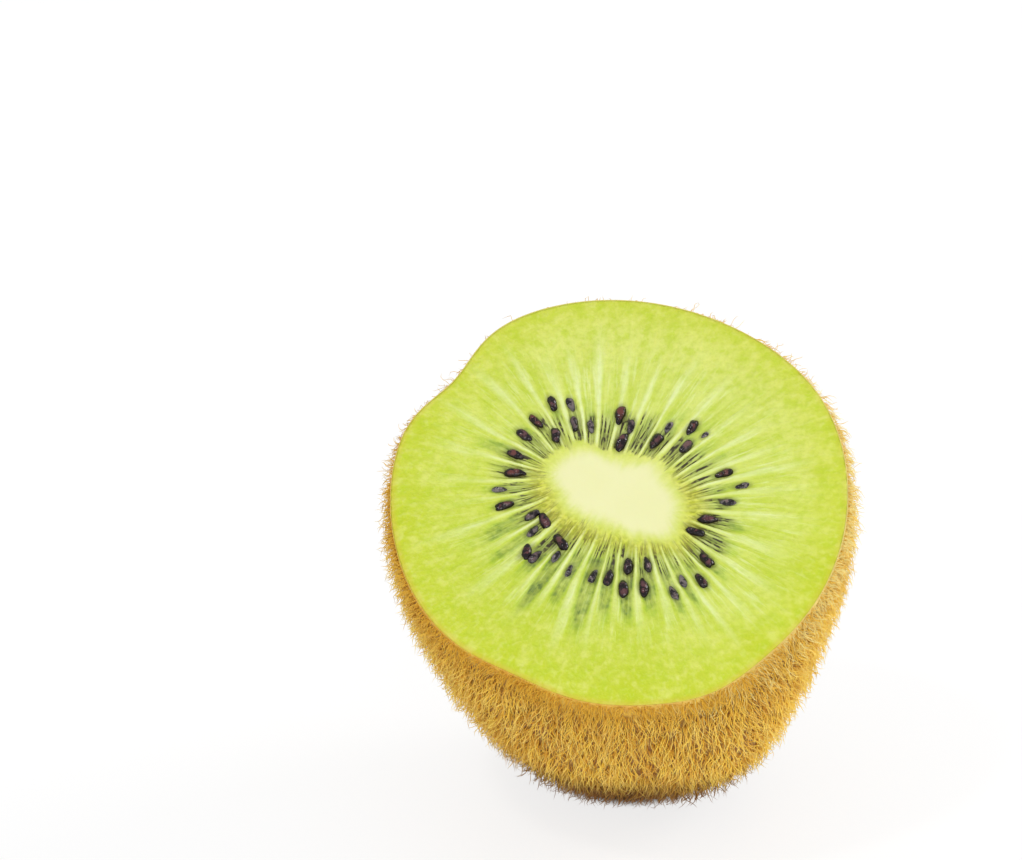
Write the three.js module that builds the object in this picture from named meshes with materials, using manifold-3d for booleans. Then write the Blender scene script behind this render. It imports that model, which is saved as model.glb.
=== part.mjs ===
// Half a kiwi fruit, cut across its middle and lying on its fuzzy skin.
// Millimetres, +Z up. The origin is the middle of the small flat spot it rests on,
// and the cut face looks up and towards -Y.

import * as THREE from 'three';
import { mergeVertices } from 'three/addons/utils/BufferGeometryUtils.js';
import Module from 'manifold-3d';

const wasm = await Module();
wasm.setup();

// ---- Driving dimensions ----

// The cut face, measured to the skin: a slightly upright oval.
const HALF_WIDTH = 24.1;
const HALF_HEIGHT = 25.2;
const MEAN_RADIUS = ( HALF_WIDTH + HALF_HEIGHT ) / 2;

// Low swells and a cleft in that oval: [ height in mm, place in degrees, spread in degrees ].
// Places count from +X, over the top of the face. All of them fade out towards the far end.
const SWELLS = [
	[ - 2.05, 142, 13 ],
	[ - 1.1, 247, 16 ],
	[ 1.85, 130, 45 ],
	[ 0.75, 295, 13 ],
	[ 0.6, 36, 24 ],
];

// Where the body is fuller or slimmer halfway down, with nothing at the rim and at the far end.
const BULGES = [
	[ 2.2, 305, 22 ],
	[ 0.35, 277, 18 ],
	[ 1.4, 250, 18 ],
	[ - 0.8, 222, 30 ],
	[ - 0.85, 335, 28 ],
];

// The body, from the cut to the far end: radius share = (1 - depth share ^ SHOULDER) ^ (1 / BLUNTNESS).
const BODY_LENGTH = 37;
const SHOULDER = 2;
const BLUNTNESS = 2.9;

// How it lies: the face is tilted towards -Y, and its middle is here above the rest spot.
const FACE_TILT = 36.4;
const FACE_MIDDLE = new THREE.Vector3( - 0.5, - 8.5, 35.5 );

// The coat of hairs: its mean thickness over the skin, the depth below the cut where it is full,
// and the lumps that the hairs clump into. It is pressed smooth close to what it lies on.
const FUZZ = 1.1;
const FUZZ_EDGE = 1.3;
const CLUMP_HEIGHT = 0.3;
const CLUMP_LENGTHS = [ 3.6, 6.2 ];
const CLUMP_WAVES = 28;
const CLUMP_SEED = 7;
const PRESSED_HEIGHT = 2.5;

// The cut surface: the seed belt lies a little below the core and the outer flesh.
const CORE_MIDDLE = new THREE.Vector2( - 0.8, 0.9 );
const CORE_RADIUS = 6.2;
const BELT_RADIUS = 10.6;
const BELT_WIDTH = 3.6;
const BELT_SINK = 0.3;
const FACE_CROWN = 0.25;

// Seeds: flat drops lying in the belt with their points to the core.
const SEED_LENGTH = 2.05;
const SEED_WIDTH = 1.1;
const SEED_THICKNESS = 1.0;
const SEED_SINK = 0.12;
const SEED_SIDES = 8;
const SEED_RINGS = 5;

// Where the seeds lie: [ angle in degrees, distance from the middle of the face, share of full size,
// turn out of line with the core in degrees ].
const SEEDS = [
	[ 2, 11.5, 0.85, 0 ], [ 11, 13.1, 0.8, 0 ], [ 20, 11.5, 1, 0 ], [ 46, 12.2, 0.6, 0 ],
	[ 48, 9.8, 0.9, 0 ], [ 54, 12.0, 0.95, 0 ], [ 65, 10.7, 0.75, 0 ], [ 67, 8.5, 1, 0 ],
	[ 87, 9.5, 0.9, 0 ], [ 93, 7.4, 1.15, 0 ], [ 94, 11.0, 1.1, 0 ], [ 112, 10.2, 0.8, 0 ],
	[ 117, 13.7, 0.85, 0 ], [ 120, 11.2, 0.9, 0 ], [ 124, 14.6, 1, 0 ], [ 133, 11.0, 0.95, - 15 ],
	[ 135, 13.8, 1, 0 ], [ 144, 13.5, 0.95, 0 ], [ 155, 12.8, 0.95, 0 ], [ 165, 11.9, 1.05, 0 ],
	[ 176, 13.0, 0.8, 0 ], [ 185, 12.2, 1.05, 0 ], [ 193, 9.4, 0.9, 0 ], [ 200, 8.3, 1.05, 60 ],
	[ 205, 9.9, 0.85, 0 ], [ 216, 11.6, 1, 25 ], [ 221, 11.3, 0.9, 0 ], [ 222, 8.0, 1.15, 80 ],
	[ 229, 9.5, 0.8, 0 ], [ 242, 10.1, 0.8, 0 ], [ 257, 9.7, 0.85, 0 ], [ 267, 9.6, 0.95, 0 ],
	[ 276, 11.0, 1.05, 0 ], [ 280, 8.2, 0.95, 0 ], [ 287, 11.1, 1.05, 0 ], [ 294, 8.5, 0.9, 0 ],
	[ 300, 12.9, 0.85, 0 ], [ 307, 12.1, 0.8, 0 ], [ 314, 13.3, 1, 0 ], [ 324, 11.9, 1, 0 ],
	[ 337, 8.9, 1, 20 ], [ 349, 9.6, 1, 0 ],
];

// The dried flower end at the far tip: a low button with short stubs round it.
const BUTTON_RADIUS = 2.6;
const BUTTON_RISE = 0.7;
const BUTTON_FLATNESS = 0.6;
const STUBS = 7;
const STUB_LENGTH = 2.6;
const STUB_RADIUS = 0.35;
const STUB_SPLAY = 22;

// Fineness of the facets.
const SECTORS = 96;
const SKIN_ROWS = 30;
const FACE_RINGS = [ 0.93, 0.72, 0.56, 0.42, 0.28, 0.14 ];
const PROFILE_STEPS = 200;
const BUTTON_SIDES = 14;
const BUTTON_BANDS = 8;
const STUB_SIDES = 6;

// A length too small to matter.
const TINY = 1e-4;

// ---- Small tools ----

const radians = THREE.MathUtils.degToRad;
const smoothstep = THREE.MathUtils.smoothstep;

// A repeatable stream of numbers from 0 to 1.
function randomStream( seed ) {

	let state = seed;
	return () => {

		state = ( state * 1664525 + 1013904223 ) % 4294967296;
		return state / 4294967296;

	};

}

// A geometry as a solid: only positions, corners shared, no triangle without area.
function toSolid( geometry ) {

	const bare = new THREE.BufferGeometry();
	bare.setAttribute( 'position', geometry.getAttribute( 'position' ) );
	bare.setIndex( geometry.getIndex() );
	const merged = mergeVertices( bare, TINY );
	const index = merged.getIndex().array;
	const triangles = [];
	for ( let i = 0; i < index.length; i += 3 ) {

		const [ a, b, c ] = index.slice( i, i + 3 );
		if ( a !== b && b !== c && c !== a ) triangles.push( a, b, c );

	}

	return new wasm.Manifold( new wasm.Mesh( {
		numProp: 3,
		vertProperties: Float32Array.from( merged.getAttribute( 'position' ).array ),
		triVerts: Uint32Array.from( triangles ),
	} ) );

}

function toGeometry( solid ) {

	const mesh = solid.getMesh();
	const geometry = new THREE.BufferGeometry();
	geometry.setAttribute( 'position', new THREE.BufferAttribute( mesh.vertProperties, 3 ) );
	geometry.setIndex( new THREE.BufferAttribute( mesh.triVerts, 1 ) );
	geometry.computeVertexNormals();
	return geometry;

}

// ---- The shape of the fruit, in its own axes: u right, v up in the face, depth below the face ----

function bump( angle, [ height, place, spread ] ) {

	const away = THREE.MathUtils.euclideanModulo( angle - radians( place ) + Math.PI, 2 * Math.PI ) - Math.PI;
	return height * Math.exp( - ( ( away / radians( spread ) ) ** 2 ) );

}

function sumOfBumps( angle, bumps ) {

	return bumps.reduce( ( sum, one ) => sum + bump( angle, one ), 0 );

}

// Distance from the axis to the skin where the radius share is 1.
function outline( angle, depthShare ) {

	const oval = HALF_WIDTH * HALF_HEIGHT
		/ Math.hypot( HALF_HEIGHT * Math.cos( angle ), HALF_WIDTH * Math.sin( angle ) );
	const swell = ( 1 - depthShare ** 2 ) * sumOfBumps( angle, SWELLS );
	const bulge = Math.sin( Math.PI * depthShare ) * sumOfBumps( angle, BULGES );
	return oval + swell + bulge;

}

// Lumps in the coat of hairs, from plane waves in seeded directions, mostly between -1 and 1.
const clumpDraw = randomStream( CLUMP_SEED );
const clumpWaves = Array.from( { length: CLUMP_WAVES }, () => {

	const length = THREE.MathUtils.lerp( ...CLUMP_LENGTHS, clumpDraw() );
	const lift = 2 * clumpDraw() - 1;
	const turn = 2 * Math.PI * clumpDraw();
	const flat = Math.sqrt( 1 - lift * lift );
	const way = new THREE.Vector3( flat * Math.cos( turn ), flat * Math.sin( turn ), lift );
	return { way: way.multiplyScalar( 2 * Math.PI / length ), start: 2 * Math.PI * clumpDraw() };

} );

function clumps( point ) {

	const sum = clumpWaves.reduce( ( total, wave ) => total + Math.sin( wave.way.dot( point ) + wave.start ), 0 );
	return sum / Math.sqrt( CLUMP_WAVES );

}

// Height of the cut surface over the plane of the cut.
function faceHeight( u, v ) {

	const rimShare = Math.hypot( u, v ) / MEAN_RADIUS;
	const fromCore = Math.hypot( u - CORE_MIDDLE.x, v - CORE_MIDDLE.y );
	const belt = Math.exp( - ( ( ( fromCore - BELT_RADIUS ) / BELT_WIDTH ) ** 2 ) );
	const pastCore = smoothstep( fromCore, CORE_RADIUS, BELT_RADIUS );
	return FACE_CROWN * ( 1 - rimShare ** 4 ) - BELT_SINK * belt * pastCore;

}

// From the fruit's own axes to the part's frame.
const TILT_TURN = new THREE.Matrix4().makeRotationX( radians( FACE_TILT ) );
const TO_PART = new THREE.Matrix4().makeTranslation( FACE_MIDDLE ).multiply( TILT_TURN );

// ---- Flesh and skin ----

// A round half fruit, turned about its own axis: down the skin to the far tip, then across the cut.
function roundHalf() {

	const skin = [];
	for ( let step = 0; step <= PROFILE_STEPS; step ++ ) {

		const share = Math.sin( step / PROFILE_STEPS * Math.PI / 2 );
		const radius = MEAN_RADIUS * ( 1 - share ** SHOULDER ) ** ( 1 / BLUNTNESS );
		skin.push( new THREE.Vector2( radius, - share * BODY_LENGTH ) );

	}

	const rows = new THREE.SplineCurve( skin ).getSpacedPoints( SKIN_ROWS );
	rows[ SKIN_ROWS ].set( 0, - BODY_LENGTH );
	rows.splice( 1, 0, new THREE.Vector2( rows[ 0 ].x, - FUZZ_EDGE / 2 ) );
	const face = FACE_RINGS.map( ( share ) => new THREE.Vector2( share * MEAN_RADIUS, 0 ) );
	const profile = [ ...rows.reverse(), ...face, new THREE.Vector2( 0, 0 ) ];
	return new THREE.LatheGeometry( profile, SECTORS ).rotateX( Math.PI / 2 );

}

// The round half is given the real outline, the coat's lumps and the relief of the cut.
function unevenHalf() {

	const geometry = roundHalf();
	const position = geometry.getAttribute( 'position' );
	const point = new THREE.Vector3();
	const placed = new THREE.Vector3();
	for ( let i = 0; i < position.count; i ++ ) {

		point.fromBufferAttribute( position, i );
		const share = Math.min( 1, Math.max( 0, - point.z / BODY_LENGTH ) );
		const radius = Math.hypot( point.x, point.y );
		const angle = Math.atan2( point.y, point.x );
		const scale = outline( angle, share ) / MEAN_RADIUS;
		const onFace = point.z > - TINY;
		const onRim = radius > MEAN_RADIUS - TINY;
		point.x = radius * scale * Math.cos( angle );
		point.y = radius * scale * Math.sin( angle );
		if ( onFace ) {

			point.z = onRim ? 0 : faceHeight( point.x, point.y );

		} else {

			placed.copy( point ).applyMatrix4( TO_PART );
			const full = smoothstep( share * BODY_LENGTH, 0, FUZZ_EDGE );
			const free = smoothstep( placed.z, 0, PRESSED_HEIGHT );
			const coat = full * ( FUZZ + CLUMP_HEIGHT * free * clumps( point ) );
			point.addScaledVector( skinNormal( angle, share ), coat );

		}

		position.setXYZ( i, point.x, point.y, point.z );

	}

	return toSolid( geometry );

}

// Direction straight out of the skin, from the slope of the round half's profile.
function skinNormal( angle, share ) {

	const slopeStep = 1e-3;
	const radiusAt = ( s ) => MEAN_RADIUS * Math.max( 0, 1 - s ** SHOULDER ) ** ( 1 / BLUNTNESS );
	const low = Math.max( 0, share - slopeStep );
	const high = Math.min( 1, share + slopeStep );
	const fall = radiusAt( low ) - radiusAt( high );
	const run = ( high - low ) * BODY_LENGTH;
	const length = Math.hypot( fall, run );
	return new THREE.Vector3(
		run / length * Math.cos( angle ),
		run / length * Math.sin( angle ),
		- fall / length,
	);

}

// ---- Seeds ----

function seed( [ place, distance, size, turn ] ) {

	const angle = radians( place );
	const u = distance * Math.cos( angle );
	const v = distance * Math.sin( angle );
	const drop = new THREE.SphereGeometry( 0.5, SEED_SIDES, SEED_RINGS );
	drop.rotateZ( Math.PI / 2 );
	drop.scale( SEED_LENGTH * size, SEED_WIDTH * size, SEED_THICKNESS );
	drop.rotateZ( Math.atan2( v - CORE_MIDDLE.y, u - CORE_MIDDLE.x ) + radians( turn ) );
	drop.translate( u, v, faceHeight( u, v ) - SEED_SINK );
	return toSolid( drop );

}

// ---- Dried flower end ----

function flowerEnd() {

	const coatEnd = - BODY_LENGTH - FUZZ;
	const button = new THREE.SphereGeometry( BUTTON_RADIUS, BUTTON_SIDES, BUTTON_BANDS );
	button.scale( 1, 1, BUTTON_FLATNESS );
	button.translate( 0, 0, coatEnd - BUTTON_RISE + BUTTON_FLATNESS * BUTTON_RADIUS );
	const pieces = [ toSolid( button ) ];
	for ( let i = 0; i < STUBS; i ++ ) {

		const stub = new THREE.ConeGeometry( STUB_RADIUS, STUB_LENGTH, STUB_SIDES );
		stub.rotateX( - Math.PI / 2 );
		stub.rotateY( radians( STUB_SPLAY ) );
		stub.translate( - BUTTON_RADIUS / 2, 0, coatEnd - STUB_LENGTH / 2 );
		stub.rotateZ( i / STUBS * 2 * Math.PI );
		pieces.push( toSolid( stub ) );

	}

	return pieces;

}

// ---- The whole half ----

function kiwiHalf() {

	let fruit = unevenHalf();
	for ( const piece of [ ...SEEDS.map( seed ), ...flowerEnd() ] ) fruit = fruit.add( piece );
	const placed = toSolid( toGeometry( fruit ).applyMatrix4( TO_PART ) );
	const span = 4 * BODY_LENGTH;
	const below = new THREE.BoxGeometry( span, span, span ).translate( 0, 0, - span / 2 );
	return toGeometry( placed.subtract( toSolid( below ) ) );

}

const kiwi = new THREE.Mesh(
	kiwiHalf(),
	new THREE.MeshStandardMaterial( { color: 0xbfe04e, roughness: 0.5, metalness: 0 } ),
);
kiwi.name = 'kiwi_half';

const model = new THREE.Group();
model.add( kiwi );

export default model;
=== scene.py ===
# Half a kiwi fruit: cut flesh, seeds, skin, coat of hairs and dried flower end, on a pale floor.
# Sizes are in millimetres and angles in degrees, and meshes are made in metres.

import bpy
import numpy as np
from mathutils import Matrix, Vector, kdtree


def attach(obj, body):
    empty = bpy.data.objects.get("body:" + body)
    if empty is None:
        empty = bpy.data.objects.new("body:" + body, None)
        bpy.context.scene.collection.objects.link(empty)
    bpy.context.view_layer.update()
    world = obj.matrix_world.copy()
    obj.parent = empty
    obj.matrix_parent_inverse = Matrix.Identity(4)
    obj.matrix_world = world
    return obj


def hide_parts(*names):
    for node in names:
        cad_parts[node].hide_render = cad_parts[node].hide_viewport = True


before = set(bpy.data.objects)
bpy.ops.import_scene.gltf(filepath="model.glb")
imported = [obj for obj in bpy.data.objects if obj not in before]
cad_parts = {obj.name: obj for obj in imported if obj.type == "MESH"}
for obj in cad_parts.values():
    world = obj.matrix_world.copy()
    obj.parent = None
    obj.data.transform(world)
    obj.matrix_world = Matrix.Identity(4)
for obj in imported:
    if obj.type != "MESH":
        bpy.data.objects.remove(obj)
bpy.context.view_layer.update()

NODE = "kiwi_half"
MM = 0.001

# ---------------------------------------- driving dimensions

# The fruit, as in the part's source. Swells of the cut's outline fade out towards the far end, and bulges
# are halfway down: each (height, place round the outline, spread).
HALF_WIDTH = 24.1
HALF_HEIGHT = 25.2
SWELLS = [(-2.05, 142, 13), (-1.1, 247, 16), (1.85, 130, 45), (0.75, 295, 13), (0.6, 36, 24)]
BULGES = [(2.2, 305, 22), (0.35, 277, 18), (1.4, 250, 18), (-0.8, 222, 30), (-0.85, 335, 28)]
BODY_LENGTH = 37.0
SHOULDER = 2.0
BLUNTNESS = 2.9
FACE_TILT = 36.4
FACE_MIDDLE = (-0.5, -8.5, 35.5)

# The cut: a leaning oval core with fuller corners, each (height, place, spread) as above.
CORE_MIDDLE = (-0.8, 0.9)
CORE_HALF_LENGTH = 8.6
CORE_HALF_WIDTH = 5.1
CORE_TURN = -20.0
CORE_SWELLS = [(1.3, 44, 17), (1.5, 319, 12), (0.7, 297, 10), (0.9, 124, 15), (-0.9, 180, 16)]
# Where the grainy yellow zone round the core is widest: (share of full width, ray, spread).
RING_SWELLS = [(0.75, 30, 22), (0.35, 0, 20), (0.6, 205, 25), (0.75, 250, 35), (0.5, 320, 35)]
# Seeds less than GROUP_SPREAD apart share a pocket, and pockets are about POCKET_SPREAD apart.
GROUP_SPREAD = 5.5
POCKET_SPREAD = 10.0
# The flesh's grain has its true size at GRAIN_RADIUS from the core's middle. STREAK_LENGTH millimetres
# along a ray count as one unit of the streaks' noise.
GRAIN_RADIUS = 16.0
STREAK_LENGTH = 150.0
# How far parts of the cut stand up from its plane or sink into it.
FACE_RISE = 0.1
CORE_DOME = 0.15
RAY_RISE = 0.07
GRAIN_RELIEF = 0.022
POCKET_SINK = 0.3
SMEAR_SINK = 0.08
SEED_HOLLOW = 0.12
RIM_SINK = 0.12
# The skin takes up SKIN_THICKNESS together with the gap between it and the flesh.
SKIN_THICKNESS = 0.1
SKIN_GAP = 0.02
# The skin shows least, and its hairs stand thinnest, along the top of the cut: (place, spread).
TOP_EDGE = (108, 72)
# Rays and streaks are faintest on the left: (height, ray, spread).
FAINT_SIDE = (0.6, 200, 45)
# Green smears reach furthest beyond the seeds that are below the core: (height, ray, spread).
SMEARED_SIDE = (1.0, 288, 58)
# The skin's edge and the hairs along it are palest on the right, with painted light: (height, place,
# spread).
PAINTED_LIGHT_SIDE = (1.0, 0, 58)

# Seeds: (angle, distance from the middle of the face, share of full size, turn out of line with the
# rays), as in the part's source.
SEED_SIZE = (2.05, 1.1, 1.0)
SEED_DEPTH = 0.1
VEILED_DEPTH = 0.12
SEEDS = [
    (2, 11.5, 0.85, 0), (11, 13.1, 0.8, 0), (20, 11.5, 1, 0), (46, 12.2, 0.6, 0),
    (48, 9.8, 0.9, 0), (54, 12.0, 0.95, 0), (65, 10.7, 0.75, 0), (67, 8.5, 1, 0),
    (87, 9.5, 0.9, 0), (93, 7.4, 1.15, 0), (94, 11.0, 1.1, 0), (112, 10.2, 0.8, 0),
    (117, 13.7, 0.85, 0), (120, 11.2, 0.9, 0), (124, 14.6, 1, 0), (133, 11.0, 0.95, -15),
    (135, 13.8, 1, 0), (144, 13.5, 0.95, 0), (155, 12.8, 0.95, 0), (165, 11.9, 1.05, 0),
    (176, 13.0, 0.8, 0), (185, 12.2, 1.05, 0), (193, 9.4, 0.9, 0), (200, 8.3, 1.05, 60),
    (205, 9.9, 0.85, 0), (216, 11.6, 1, 25), (221, 11.3, 0.9, 0), (222, 8.0, 1.15, 80),
    (229, 9.5, 0.8, 0), (242, 10.1, 0.8, 0), (257, 9.7, 0.85, 0), (267, 9.6, 0.95, 0),
    (276, 11.0, 1.05, 0), (280, 8.2, 0.95, 0), (287, 11.1, 1.05, 0), (294, 8.5, 0.9, 0),
    (300, 12.9, 0.85, 0), (307, 12.1, 0.8, 0), (314, 13.3, 1, 0), (324, 11.9, 1, 0),
    (337, 8.9, 1, 20), (349, 9.6, 1, 0),
]

# The lowest that each layer reaches over the floor, where the fruit lies on its flattened coat. Hairs whose
# roots are lower than ROOT_FLOOR are left out.
FLESH_FLOOR = 0.6
SKIN_INSIDE_FLOOR = 0.5
SKIN_FLOOR = 0.25
ROOT_FLOOR = 0.3
HAIR_LINE_FLOOR = 0.08
HAIR_FLOOR = 0.02
FLOWER_FLOOR = 0.1

# The camera: the middle of the face lands on this pixel of the 1022 x 860 frame.
IMAGE_SIZE = (1022, 860)
FACE_PIXEL = (620, 501)
CAMERA_AZIMUTH = 6.0
CAMERA_ELEVATION = 20.0
CAMERA_DISTANCE = 500.0
PIXELS_PER_MM = 9.41
SENSOR = 36.0


# ---------------------------------------- shape of the fruit

def unit(vectors):
    return vectors / np.maximum(np.linalg.norm(vectors, axis=-1, keepdims=True), 1e-12)


def smooth(low, high, value):
    share = np.clip((value - low) / (high - low), 0, 1)
    return share * share * (3 - 2 * share)


def swell(angle, bumps):
    """Sum of low bumps round the outline, each (height, place, spread)."""
    total = np.zeros_like(angle, dtype=float)
    for height, place, spread in bumps:
        away = (angle - np.radians(place) + np.pi) % (2 * np.pi) - np.pi
        total += height * np.exp(-(away / np.radians(spread)) ** 2)
    return total


def oval(angle, half_width, half_height):
    return half_width * half_height / np.hypot(half_height * np.cos(angle), half_width * np.sin(angle))


def outline(angle, share):
    swelling = (1 - share ** 2) * swell(angle, SWELLS) + np.sin(np.pi * share) * swell(angle, BULGES)
    return oval(angle, HALF_WIDTH, HALF_HEIGHT) + swelling


def core_radius(angle):
    turned = angle - np.radians(CORE_TURN)
    return oval(turned, CORE_HALF_LENGTH, CORE_HALF_WIDTH) + swell(angle, CORE_SWELLS)


def skin(angle, share):
    """Points of the bare skin in the fruit's own axes: right, up in the face, out of the face."""
    radius = outline(angle, share) * np.clip(1 - share ** SHOULDER, 0, 1) ** (1 / BLUNTNESS)
    return np.stack([radius * np.cos(angle), radius * np.sin(angle), -BODY_LENGTH * share], -1)


def skin_axes(angle, share):
    """Unit vectors out of the skin and down it towards the far end."""
    step = 2e-3
    across = skin(angle + step, share) - skin(angle - step, share)
    down = skin(angle, np.clip(share + step, 0, 0.9995)) - skin(angle, np.clip(share - step, 0, 0.9985))
    return unit(np.cross(down, across)), unit(down)


def to_part(points):
    """From the fruit's own axes to the part's frame."""
    tilt = np.radians(FACE_TILT)
    right, up, out = points[..., 0], points[..., 1], points[..., 2]
    placed = [right, up * np.cos(tilt) - out * np.sin(tilt), up * np.sin(tilt) + out * np.cos(tilt)]
    return np.stack(placed, -1) + np.array(FACE_MIDDLE)


def rest_on(points, height):
    """Flattens what would reach lower than this height over the floor."""
    flat = points.copy()
    flat[..., 2] = np.maximum(flat[..., 2], height)
    return flat


class Waves:
    """A smooth random field: plane waves in seeded directions, mostly between -1 and 1."""

    def __init__(self, seed, lengths, count, size=3):
        draw = np.random.default_rng(seed)
        ways = unit(draw.normal(size=(count, size)))
        self.ways = ways * (2 * np.pi / draw.uniform(*lengths, size=(count, 1)))
        self.starts = draw.uniform(0, 2 * np.pi, count)

    def at(self, points):
        total = np.zeros(points.shape[:-1])
        for way, start in zip(self.ways, self.starts):
            total += np.sin(points @ way + start)
        return total / np.sqrt(len(self.starts))


# ---------------------------------------- meshes and materials

def add_mesh(name, points, faces, attributes=None):
    """A smooth mesh piece from points in millimetres, faces of equal length and values at each point."""
    mesh = bpy.data.meshes.new(name)
    faces = np.asarray(faces, dtype=np.int32)
    corners = faces.shape[1]
    mesh.vertices.add(len(points))
    mesh.vertices.foreach_set("co", (points * MM).astype(np.float32).ravel())
    mesh.loops.add(faces.size)
    mesh.loops.foreach_set("vertex_index", faces.ravel())
    mesh.polygons.add(len(faces))
    mesh.polygons.foreach_set("loop_start", np.arange(0, faces.size, corners, dtype=np.int32))
    mesh.polygons.foreach_set("loop_total", np.full(len(faces), corners, dtype=np.int32))
    mesh.polygons.foreach_set("use_smooth", np.ones(len(faces), dtype=bool))
    for key, values in (attributes or {}).items():
        kind = "FLOAT" if values.ndim == 1 else "FLOAT_VECTOR"
        layer = mesh.attributes.new(key, kind, "POINT")
        layer.data.foreach_set("value" if kind == "FLOAT" else "vector", values.astype(np.float32).ravel())
    mesh.update()
    mesh.validate()
    piece = bpy.data.objects.new(name, mesh)
    bpy.context.scene.collection.objects.link(piece)
    return piece


def finish_piece(piece, material):
    piece.data.materials.append(material)
    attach(piece, "root")
    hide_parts(NODE)


def fan_faces(pole, ring, columns, flip):
    """Triangles between one point and a ring of points that starts at ring."""
    a = ring + np.arange(columns)
    b = ring + (np.arange(columns) + 1) % columns
    p = np.full(columns, pole)
    return np.stack([p, b, a] if flip else [p, a, b], -1)


def closed_faces(rows, columns, flip=False):
    """Triangles of a shell: a first point, rows of points that close round, and a last point."""
    row, column = np.meshgrid(np.arange(rows - 1), np.arange(columns), indexing="ij")
    a = 1 + row * columns + column
    b = 1 + row * columns + (column + 1) % columns
    c, d = a + columns, b + columns
    sides = np.concatenate([np.stack([a, b, d], -1).reshape(-1, 3), np.stack([a, d, c], -1).reshape(-1, 3)])
    last = 1 + rows * columns
    return np.concatenate([
        fan_faces(0, 1, columns, not flip),
        sides[:, ::-1] if flip else sides,
        fan_faces(last, last - columns, columns, flip),
    ])


def colour(red, green, blue):
    """A linear colour from display values of 0 to 255."""
    display = np.array([red, green, blue]) / 255
    linear = np.where(display <= 0.04045, display / 12.92, ((display + 0.055) / 1.055) ** 2.4)
    return (*linear.tolist(), 1.0)


class Paint:
    """A material and short ways to add its nodes."""

    def __init__(self, name, **sockets):
        self.material = bpy.data.materials.new(name)
        self.material.use_nodes = True
        self.nodes = self.material.node_tree.nodes
        self.links = self.material.node_tree.links
        self.shader = self.nodes["Principled BSDF"]
        for key, value in sockets.items():
            self.shader.inputs[key.replace("_", " ")].default_value = value

    def set(self, socket, value):
        if hasattr(value, "links"):
            self.links.new(value, socket)
        else:
            socket.default_value = value

    def attribute(self, name):
        """A vector attribute of the mesh."""
        node = self.nodes.new("ShaderNodeAttribute")
        node.attribute_name = name
        return node.outputs["Vector"]

    def split(self, vector):
        node = self.nodes.new("ShaderNodeSeparateXYZ")
        self.set(node.inputs[0], vector)
        return node.outputs[0], node.outputs[1], node.outputs[2]

    def parts(self, name):
        """The three masks that are kept in one vector attribute."""
        return self.split(self.attribute(name))

    def place(self):
        return self.nodes.new("ShaderNodeTexCoord").outputs["Object"]

    def noise(self, vector, scale, detail=3.0, roughness=0.55):
        node = self.nodes.new("ShaderNodeTexNoise")
        self.set(node.inputs["Vector"], vector)
        node.inputs["Scale"].default_value = scale
        node.inputs["Detail"].default_value = detail
        node.inputs["Roughness"].default_value = roughness
        return node.outputs["Fac"]

    def cells(self, vector, scale):
        node = self.nodes.new("ShaderNodeTexVoronoi")
        self.set(node.inputs["Vector"], vector)
        node.inputs["Scale"].default_value = scale
        return node.outputs["Distance"]

    def math(self, kind, first, second):
        node = self.nodes.new("ShaderNodeMath")
        node.operation = kind
        self.set(node.inputs[0], first)
        self.set(node.inputs[1], second)
        return node.outputs[0]

    def times(self, first, second):
        return self.math("MULTIPLY", first, second)

    def spread(self, value, low, high, to_low=0.0, to_high=1.0):
        """Maps low..high smoothly to to_low..to_high."""
        node = self.nodes.new("ShaderNodeMapRange")
        node.interpolation_type = "SMOOTHSTEP"
        self.set(node.inputs["Value"], value)
        for key, number in zip(("From Min", "From Max", "To Min", "To Max"), (low, high, to_low, to_high)):
            node.inputs[key].default_value = number
        return node.outputs["Result"]

    def mix(self, share, first, second, blend="MIX"):
        node = self.nodes.new("ShaderNodeMix")
        node.data_type = "RGBA"
        node.blend_type = blend
        self.set(node.inputs[0], share)
        self.set(node.inputs[6], first)
        self.set(node.inputs[7], second)
        return node.outputs[2]

    def bump(self, height, distance, strength):
        node = self.nodes.new("ShaderNodeBump")
        node.inputs["Strength"].default_value = strength
        node.inputs["Distance"].default_value = distance * MM
        self.set(node.inputs["Height"], height)
        self.set(self.shader.inputs["Normal"], node.outputs["Normal"])

    def colour(self, value):
        self.set(self.shader.inputs["Base Color"], value)


# ---------------------------------------- the pattern of the cut

FOCUS = np.sqrt(CORE_HALF_LENGTH ** 2 - CORE_HALF_WIDTH ** 2)


def ray_angle(right, up):
    """Which ray a point lies on. Rays leave the long core square to its edge and fan out to the skin."""
    turned = (right - CORE_MIDDLE[0] + 1j * (up - CORE_MIDDLE[1])) * np.exp(-1j * np.radians(CORE_TURN))
    return np.arccosh(turned / FOCUS).imag % (2 * np.pi)


def seed_places():
    angle, distance, share, _ = np.array(SEEDS, dtype=float).T
    return distance * np.cos(np.radians(angle)), distance * np.sin(np.radians(angle)), share


def pocket_rays():
    """Ray angles of the seed pockets: one for each seed or close group, and more in wide gaps."""
    right, up, _ = seed_places()
    groups = []
    for angle in np.sort(ray_angle(right, up)):
        if groups and angle - groups[-1][-1] < np.radians(GROUP_SPREAD):
            groups[-1].append(angle)
        else:
            groups.append([angle])
    rays = [float(np.mean(group)) for group in groups]
    pockets = []
    for ray, following in zip(rays, rays[1:] + [rays[0] + 2 * np.pi]):
        count = max(1, round((following - ray) / np.radians(POCKET_SPREAD)))
        pockets += [ray + step * (following - ray) / count for step in range(count)]
    return np.array(pockets)


POCKETS = pocket_rays()


def pocket_phase(ray):
    """Counts pockets: a whole number in the middle of a pocket, and a half in the middle of a pale ray."""
    count = len(POCKETS)
    places = np.concatenate([[POCKETS[-1] - 2 * np.pi], POCKETS, [POCKETS[0] + 2 * np.pi]])
    return np.interp(ray, places, np.arange(-1, count + 1))


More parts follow.
